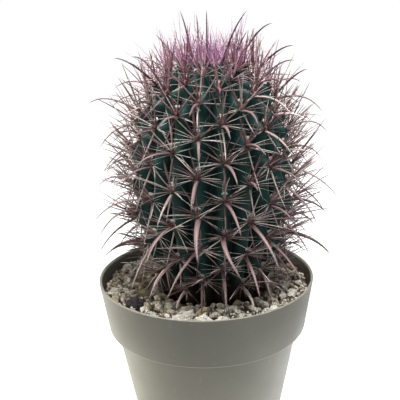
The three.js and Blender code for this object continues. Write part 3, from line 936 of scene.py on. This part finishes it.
def make_pot():
    body_top = BAND_FOOT + SKIRT_DROP
    ledge = body_top + WALL

    def body_inside(z):
        return FOOT_RADIUS + (BODY_TOP_RADIUS - FOOT_RADIUS) * z / body_top - WALL

    # Each corner of the outline, from the axis back to the axis, and the radius that rounds it.
    corners = [
        ((0, 0), 0),
        ((PAD_RADIUS, 0), 0.5),
        ((PAD_RADIUS + FOOT_RECESS, FOOT_RECESS), 0.5),
        ((FOOT_RING_INNER - FOOT_RECESS, FOOT_RECESS), 0.5),
        ((FOOT_RING_INNER, 0), 0.5),
        ((FOOT_RADIUS, 0), 1.2),
        ((BODY_TOP_RADIUS, body_top), 0.4),
        ((BAND_FOOT_RADIUS - WALL, body_top), 0.4),
        ((BAND_FOOT_RADIUS - WALL, BAND_FOOT), 0.5),
        ((BAND_FOOT_RADIUS, BAND_FOOT), 0.9),
        ((RIM_RADIUS, POT_HEIGHT - 0.6), 0.5),
        ((RIM_RADIUS - 0.2, POT_HEIGHT), 0.35),
        ((RIM_RADIUS - WALL, POT_HEIGHT), 0.9),
        ((band_inside(POT_HEIGHT - LIP_DEPTH), POT_HEIGHT - LIP_DEPTH), 0),
        ((band_inside(ledge), ledge), 0.5),
        ((body_inside(ledge), ledge), 0.5),
        ((body_inside(FLOOR_TOP), FLOOR_TOP), 1.5),
        ((0, FLOOR_TOP), 0),
    ]
    outline = []
    for i, (corner, radius) in enumerate(corners):
        if radius:
            outline += rounded(corner, corners[i - 1][0], corners[i + 1][0], radius)
        else:
            outline.append(corner)
    bm = bmesh.new()
    verts = [bm.verts.new((r, 0, z)) for r, z in outline]
    edges = [bm.edges.new(pair) for pair in zip(verts, verts[1:])]
    spin_round(bm, verts + edges, POT_STEPS)
    edge = bm.verts.layers.float.new("edge")
    inner_wall_shade = bm.verts.layers.float.new("inner_wall_shade")
    for vert in bm.verts:
        wall = band_inside(vert.co.z) if vert.co.z > ledge - 0.6 else body_inside(vert.co.z)
        # The inner wall below the lip is marked here for painted shade.
        within = FLOOR_TOP - 0.5 < vert.co.z < POT_HEIGHT - 2.1 and vert.co.xy.length < wall + 0.3
        vert[inner_wall_shade] = 0.9 if within else 0.0
        # The band's lower edge is marked here for a painted highlight.
        foot_highlight = abs(vert.co.z - BAND_FOOT) < 0.7 and vert.co.xy.length > BAND_FOOT_RADIUS - 1
        vert[edge] = 0.8 if foot_highlight else 0.0
    pot = finish_piece(bm, "round_pot", PLASTIC)
    drill = bmesh.new()
    for i in range(DRAIN_HOLES):
        angle = 2 * math.pi * (i + 0.5) / DRAIN_HOLES
        place = Vector((math.cos(angle), math.sin(angle), 0)) * DRAIN_CIRCLE_RADIUS
        ends = {"radius1": DRAIN_HOLE_RADIUS, "radius2": DRAIN_HOLE_RADIUS, "depth": 4 * FLOOR_TOP}
        bmesh.ops.create_cone(
            drill, cap_ends=True, segments=32, matrix=Matrix.Translation(place), **ends
        )
    cutter = finish_piece(drill, "drain_cutter", PLASTIC)
    holes = pot.modifiers.new("drain_holes", "BOOLEAN")
    holes.operation = "DIFFERENCE"
    holes.solver = "EXACT"
    holes.object = cutter
    depsgraph = bpy.context.evaluated_depsgraph_get()
    bored = bpy.data.meshes.new_from_object(pot.evaluated_get(depsgraph))
    pot.modifiers.clear()
    pot.data = bored
    bpy.data.objects.remove(cutter)
    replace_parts(pot, "pot")


# ---- The dressing ----
GRID_STEP = 0.8
GRID_REACH = 84
# A stone feels for the ground within this share of its disc, squared, and sinks to this rank of what it
# touches there.
FELT_WITHIN = 0.8
SETTLED_RANK = 0.86


class Bed:
    """The dressing's surface as a grid of heights, on which stones come to rest."""

    def __init__(self, level):
        side = np.arange(-GRID_REACH, GRID_REACH + GRID_STEP, GRID_STEP)
        self.x, self.y = np.meshgrid(side, side, indexing="ij")
        self.heights = np.full(self.x.shape, float(level))

    def window(self, x, y, radius):
        low = [int((v - radius + GRID_REACH) / GRID_STEP) for v in (x, y)]
        high = [int((v + radius + GRID_REACH) / GRID_STEP) + 2 for v in (x, y)]
        return slice(max(low[0], 0), high[0]), slice(max(low[1], 0), high[1])

    def rest(self, x, y, radius, half_height):
        """The height of a stone's middle when it lies at x, y, and the patch that it covers."""
        patch = self.window(x, y, radius)
        away = ((self.x[patch] - x) ** 2 + (self.y[patch] - y) ** 2) / radius**2
        dome = half_height * np.sqrt(np.clip(1 - away, 0, 1))
        under = away < FELT_WITHIN
        if not under.any():
            return float(self.heights[patch].max()) + half_height, patch, away, dome
        touch = np.sort((self.heights[patch] + dome)[under])
        return float(touch[int(len(touch) * SETTLED_RANK)]), patch, away, dome

    def lay(self, middle, patch, away, dome):
        raised = np.where(away < 1, middle + dome, self.heights[patch])
        self.heights[patch] = np.maximum(self.heights[patch], raised)


# A large stone has so many flat cuts, so far from its middle. Lumps and tilt shape every stone.
ROCK_CUTS = 9
CUT_REACH = 0.74
ROCK_LUMPS = 0.62
ROCK_TILT = 0.9


def rock(place, half_sizes, turn, seed, large=False):
    """A broken stone: a ball with its corners moved and its sides cut flat, pressed to its half sizes."""
    bm = bmesh.new()
    bmesh.ops.create_icosphere(bm, subdivisions=3 if large else 1, radius=1)
    offset = Vector((scatter(seed, 1) * 90, scatter(seed, 2) * 90, scatter(seed, 3) * 90))
    cuts = [
        Vector([scatter(seed, salt + i) - 0.5 for salt in (60, 70, 80)]).normalized()
        for i in range(ROCK_CUTS if large else 0)
    ]
    for vert in bm.verts:
        vert.co *= 1 + ROCK_LUMPS * noise.noise(vert.co * 1.6 + offset)
        for cut in cuts:
            beyond = vert.co.dot(cut) - CUT_REACH
            if beyond > 0:
                vert.co -= cut * beyond
        if large:
            vert.co *= 1 + 0.14 * noise.noise(vert.co * 4.5 + offset)
    if not large:
        corners = bm.edges[:] + bm.verts[:]
        bmesh.ops.bevel(bm, geom=corners, offset=0.09, affect="EDGES", segments=1, profile=0.5, material=-1)
    tilt_x = Matrix.Rotation(ROCK_TILT * (scatter(seed, 4) - 0.5), 4, "X")
    tilt_y = Matrix.Rotation(ROCK_TILT * (scatter(seed, 5) - 0.5), 4, "Y")
    pose = Matrix.Translation(place) @ Matrix.Rotation(turn, 4, "Z") @ tilt_x @ tilt_y
    bmesh.ops.transform(bm, matrix=pose @ Matrix.Diagonal((*half_sizes, 1)), verts=bm.verts)
    return bm


class Heap:
    """Stones gathered into one mesh, each with its own paleness."""

    def __init__(self):
        self.bm = bmesh.new()
        self.tints = []
        self.scratch = bpy.data.meshes.new("stone_copy")

    def add(self, stone, tint):
        self.tints += [tint] * len(stone.verts)
        stone.to_mesh(self.scratch)
        stone.free()
        self.bm.from_mesh(self.scratch)

    def piece(self, name, slot, material):
        layer = self.bm.verts.layers.float.new("tint")
        for vert, tint in zip(self.bm.verts, self.tints):
            vert[layer] = tint
        return finish_piece(self.bm, name, material, smooth=False)


BED_LEVEL = 136.0
STONE_COUNT = 1150
STONE_PLACES = 5
STEM_CLEARING = 43.5

# The largest stones: angle from the front, distance from the pot's axis, half sizes, turn and paleness.
# Most angles and distances are close to what a script worked out from points picked on the photograph.
LARGE_STONES = (
    (-15.5, 62.0, (8.6, 4.3, 3.6), 12, 1.0),
    (-4.0, 55.0, (6.2, 4.2, 3.4), 5, 0.3),
    (-2.0, 67.5, (8.0, 4.8, 3.8), -8, 0.88),
    (-31.7, 53.5, (5.2, 4.6, 4.6), 40, 0.52),
    (-38.5, 57.5, (4.8, 3.8, 4.4), 110, 0.5),
    (-17.7, 51.0, (7.0, 4.2, 3.0), 15, 0.66),
    (-36.5, 69.0, (3.2, 3.0, 3.2), 0, 0.92),
    (-43.0, 67.5, (5.4, 3.4, 4.4), 75, 0.7),
    (8.1, 69.0, (6.2, 4.4, 3.6), 20, 0.86),
    (80.0, 62.0, (7.6, 5.6, 4.4), 70, 0.55),
    (66.0, 71.0, (4.6, 4.0, 3.8), 30, 0.78),
    (-116.0, 74.0, (5.0, 4.2, 3.8), 0, 0.72),
    (-93.0, 63.0, (3.6, 6.0, 3.6), 0, 0.84),
    (-79.0, 73.0, (5.2, 4.0, 3.6), 50, 0.6),
    (125.0, 66.0, (7.0, 5.0, 4.0), 20, 0.8),
    (152.0, 60.0, (5.6, 4.4, 4.0), 80, 0.35),
    (178.0, 68.0, (8.0, 4.6, 3.8), 5, 0.95),
    (-150.0, 66.0, (6.0, 4.6, 3.8), 50, 0.58),
    (38.0, 70.0, (5.0, 3.8, 3.4), 15, 0.9),
)


def make_stones():
    """The large stones, and small ones dropped one by one on the lowest of a few random places."""
    bed = Bed(BED_LEVEL)
    heap = Heap()
    wall = band_inside(GRAVEL_LEVEL) - 0.4
    for node in ("lava_stone_1", "lava_stone_2"):
        low, high = (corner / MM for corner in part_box(node))
        middle = (low + high) / 2
        radius = (high.x - low.x) / 2
        resting = bed.rest(middle.x, middle.y, radius, (high.z - low.z) / 2)
        bed.lay(middle.z, *resting[1:])
    for i, (degrees, reach, sizes, turn, tint) in enumerate(LARGE_STONES):
        angle = math.radians(degrees)
        x, y = reach * math.sin(angle), -reach * math.cos(angle)
        middle, patch, away, dome = bed.rest(x, y, (sizes[0] + sizes[1]) / 2, sizes[2])
        middle = min(middle, STONE_TOP - 0.4 - sizes[2])
        bed.lay(middle, patch, away, dome)
        heap.add(rock(Vector((x, y, middle)), sizes, math.radians(turn), 5000 + i, large=True), tint)
    for i in range(STONE_COUNT):
        radius = 1.2 + 3.3 * scatter(i, 10) ** 3.4
        half_height = radius * (0.6 + 0.25 * scatter(i, 11))
        best = None
        for attempt in range(STONE_PLACES):
            angle = 2 * math.pi * scatter(i, 20 + attempt)
            inner = STEM_CLEARING - STEM_OFFSET + radius
            reach = math.sqrt(blend(inner**2, (wall - radius) ** 2, scatter(i, 40 + attempt)))
            x, y = reach * math.sin(angle), -reach * math.cos(angle)
            if math.hypot(x - STEM_OFFSET, y) < STEM_CLEARING + radius:
                continue
            resting = bed.rest(x, y, radius, half_height)
            if best is None or resting[0] + half_height < best[2][0] + half_height:
                best = (x, y, resting)
        if best is None or best[2][0] + half_height > STONE_TOP - 0.6:
            continue
        x, y, resting = best
        bed.lay(*resting)
        sizes = (radius * (1 + 0.45 * scatter(i, 12)), radius * (0.9 - 0.25 * scatter(i, 13)), half_height)
        tint = scatter(i, 14) ** 0.8
        heap.add(rock(Vector((x, y, resting[0])), sizes, 2 * math.pi * scatter(i, 15), i), tint)
    stones = heap.piece("pumice_stones", "pumice", PUMICE)
    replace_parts(stones, "gravel")


BED_RINGS = 14
BED_STEPS = 144


def make_bed():
    """The fine grit under the stones: a ring with an uneven top."""
    inner, outer = STEM_CLEARING - 2, band_inside(BED_LEVEL) - 0.3
    corners = ((inner, SOIL_TOP), (outer, SOIL_TOP), (outer, BED_LEVEL), (inner, BED_LEVEL))
    bm = bmesh.new()
    verts = [bm.verts.new((r, 0, z)) for r, z in corners]
    edges = [bm.edges.new((verts[i], verts[(i + 1) % 4])) for i in range(4)]
    bmesh.ops.subdivide_edges(bm, edges=[edges[2]], cuts=BED_RINGS)
    spin_round(bm, bm.verts[:] + bm.edges[:], BED_STEPS)
    for vert in bm.verts:
        reach = vert.co.xy.length
        if vert.co.z > BED_LEVEL - 0.1 and inner + 1 < reach < outer - 1:
            vert.co.z += 1.4 * noise.noise(vert.co / 2.5)
        vert.co.x += STEM_OFFSET * (outer - reach) / (outer - inner)
    finish_piece(bm, "grit_bed", PUMICE)


def make_lava(node, seed):
    """A dark porous stone on its node's place."""
    low, high = (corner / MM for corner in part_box(node))
    bm = bmesh.new()
    bmesh.ops.create_icosphere(bm, subdivisions=4, radius=1)
    offset = Vector((seed * 7.3, seed * 3.1, seed))
    for vert in bm.verts:
        facets = noise.noise(vert.co * 1.4 + offset) * 0.34 + noise.noise(vert.co * 4 + offset) * 0.12
        pits = max(0.0, noise.noise(vert.co * 9 + offset)) * 0.16
        vert.co *= 1 + facets - pits
    axes = [[vert.co[i] for vert in bm.verts] for i in range(3)]
    centre = Vector([(max(values) + min(values)) / 2 for values in axes])
    bmesh.ops.translate(bm, vec=-centre, verts=bm.verts)
    fit = [(high[i] - low[i]) / (max(values) - min(values)) for i, values in enumerate(axes)]
    place = Matrix.Translation((low + high) / 2)
    bmesh.ops.transform(bm, matrix=place @ Matrix.Diagonal((*fit, 1)), verts=bm.verts)
    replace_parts(finish_piece(bm, f"dark_{node}", LAVA), node)


# ---- Camera, floor and light ----
CAMERA_PLACE = Vector((-3.3, -463.2, 344.9)) * MM
CAMERA_TARGET = Vector((-3.3, 16.4, 203.5)) * MM
CAMERA_ROLL = math.radians(-1.52)
CAMERA_LENS = 55.9
SENSOR_WIDTH = 36
FLOOR_SIZE = 30000
FLOOR_GLOW = 0.91
# The white room lights the plant less than it shows the camera.
ROOM_LIGHT = 0.27
ROOM_SHOWN = 1.0


def aimed(place, target):
    """The matrix of a camera or light that stands at a place and looks at a target."""
    facing = (Vector(target) - Vector(place)).to_track_quat("-Z", "Y").to_matrix().to_4x4()
    return Matrix.Translation(place) @ facing


def make_camera():
    camera = in_scene("camera", bpy.data.cameras.new("camera"))
    camera.data.sensor_width = SENSOR_WIDTH
    camera.data.lens = CAMERA_LENS
    camera.data.clip_start = 0.01
    camera.matrix_world = aimed(CAMERA_PLACE, CAMERA_TARGET) @ Matrix.Rotation(CAMERA_ROLL, 4, "Z")
    bpy.context.scene.camera = camera


def make_floor():
    bm = bmesh.new()
    bmesh.ops.create_grid(bm, x_segments=1, y_segments=1, size=FLOOR_SIZE)
    mesh = mesh_in_metres(bm, "floor")
    floor = in_scene("floor", mesh)
    finish = Finish("pale_floor", 0.8, 0.2)
    finish.shader.inputs["Base Color"].default_value = (0.4, 0.4, 0.4, 1)
    finish.shader.inputs["Emission Color"].default_value = (1, 1, 1, 1)
    finish.shader.inputs["Emission Strength"].default_value = FLOOR_GLOW
    mesh.materials.append(finish.material)
    floor.visible_diffuse = False


def soft_light(name, place, aim, size, power, colour, shown=True):
    light = bpy.data.lights.new(name, "AREA")
    light.shape = "RECTANGLE"
    light.size, light.size_y = size
    light.energy = power
    light.color = colour
    lamp = in_scene(name, light)
    lamp.matrix_world = aimed(place, aim)
    lamp.visible_camera = shown


def make_light():
    """A white room, a soft light on each side behind the plant and one above, and three low fills.

    The camera doesn't see the low fills, which stand for the glow of a white table.
    """
    world = bpy.data.worlds.new("white_studio")
    world.use_nodes = True
    tree = world.node_tree
    seen = tree.nodes.new("ShaderNodeLightPath")
    either = tree.nodes.new("ShaderNodeMixShader")
    tree.links.new(seen.outputs["Is Camera Ray"], either.inputs[0])
    for place, strength in ((1, ROOM_LIGHT), (2, ROOM_SHOWN)):
        white = tree.nodes.new("ShaderNodeBackground")
        white.inputs["Color"].default_value = (1, 1, 1, 1)
        white.inputs["Strength"].default_value = strength
        tree.links.new(white.outputs[0], either.inputs[place])
    tree.links.new(either.outputs[0], tree.nodes["World Output"].inputs["Surface"])
    bpy.context.scene.world = world
    middle = (0, 0, 0.2)
    soft_light("left_softbox", (-1.1, 0.45, 0.25), middle, (0.8, 0.9), 28, (1.0, 0.97, 0.87))
    soft_light("right_softbox", (1.1, 0.45, 0.2), middle, (0.8, 0.9), 4.0, (0.93, 0.97, 1.0))
    soft_light("top_softbox", (0.12, -0.25, 1.35), middle, (0.45, 0.45), 34, (1.0, 1.0, 1.0))
    # Each fill's side, place in x and y, the height that it aims at, power and colour.
    table_glow = (
        ("front", 0, -0.15, -0.045, 0.13, (1.0, 0.98, 0.91)),
        ("left", -0.15, -0.02, -0.06, 0.22, (1.0, 0.98, 0.80)),
        ("right", 0.15, -0.02, -0.08, 0.38, (0.96, 0.98, 1.0)),
    )
    for side, x, y, aim, power, colour in table_glow:
        soft_light(f"low_{side}_fill", (x, y, 0.004), (0, 0, aim), (0.3, 0.05), power, colour, False)
    bpy.context.scene.view_settings.view_transform = "Standard"


make_camera()
make_floor()
make_light()

PLASTIC = pot_plastic()
SOIL = potting_soil()
PUMICE = pumice()
LAVA = lava()
SKIN = cactus_skin()
WOOL = areole_wool()
HORN = spine_horn(
    "old_spines",
    root=(0.21, 0.070, 0.078),
    middle=(0.176, 0.111, 0.110),
    tip=(0.055, 0.047, 0.049),
    pale=(0.70, 0.61, 0.55),
    dark=(0.075, 0.024, 0.030),
    young=(0.26, 0.085, 0.135),
)
YOUNG_HORN = spine_horn(
    "young_spines",
    root=(0.11, 0.016, 0.042),
    middle=(0.54, 0.27, 0.46),
    tip=(0.30, 0.22, 0.28),
    pale=(0.90, 0.78, 0.92),
    dark=(0.090, 0.016, 0.042),
    young=(0.52, 0.23, 0.43),
)
DARK_HORN = spine_horn(
    "dark_spines",
    root=(0.18, 0.035, 0.075),
    middle=(0.038, 0.022, 0.028),
    tip=(0.026, 0.023, 0.025),
    pale=(0.10, 0.07, 0.08),
    dark=(0.03, 0.024, 0.028),
    young=(0.040, 0.020, 0.028),
)
BRISTLE = spine_horn(
    "bristles",
    root=(0.22, 0.15, 0.13),
    middle=(0.78, 0.77, 0.69),
    tip=(0.60, 0.59, 0.53),
    pale=(0.97, 0.97, 0.92),
    dark=(0.16, 0.13, 0.12),
    young=(0.60, 0.56, 0.52),
)

areoles = all_areoles()
make_pot()
make_bed()
make_stones()
make_lava("lava_stone_1", 3)
make_lava("lava_stone_2", 8)
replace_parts(make_stem(), "cactus")
make_wool(areoles)
make_hairs(areoles)
make_spines(areoles)
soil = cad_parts["soil"]
soil.data.materials.clear()
soil.data.materials.append(SOIL)
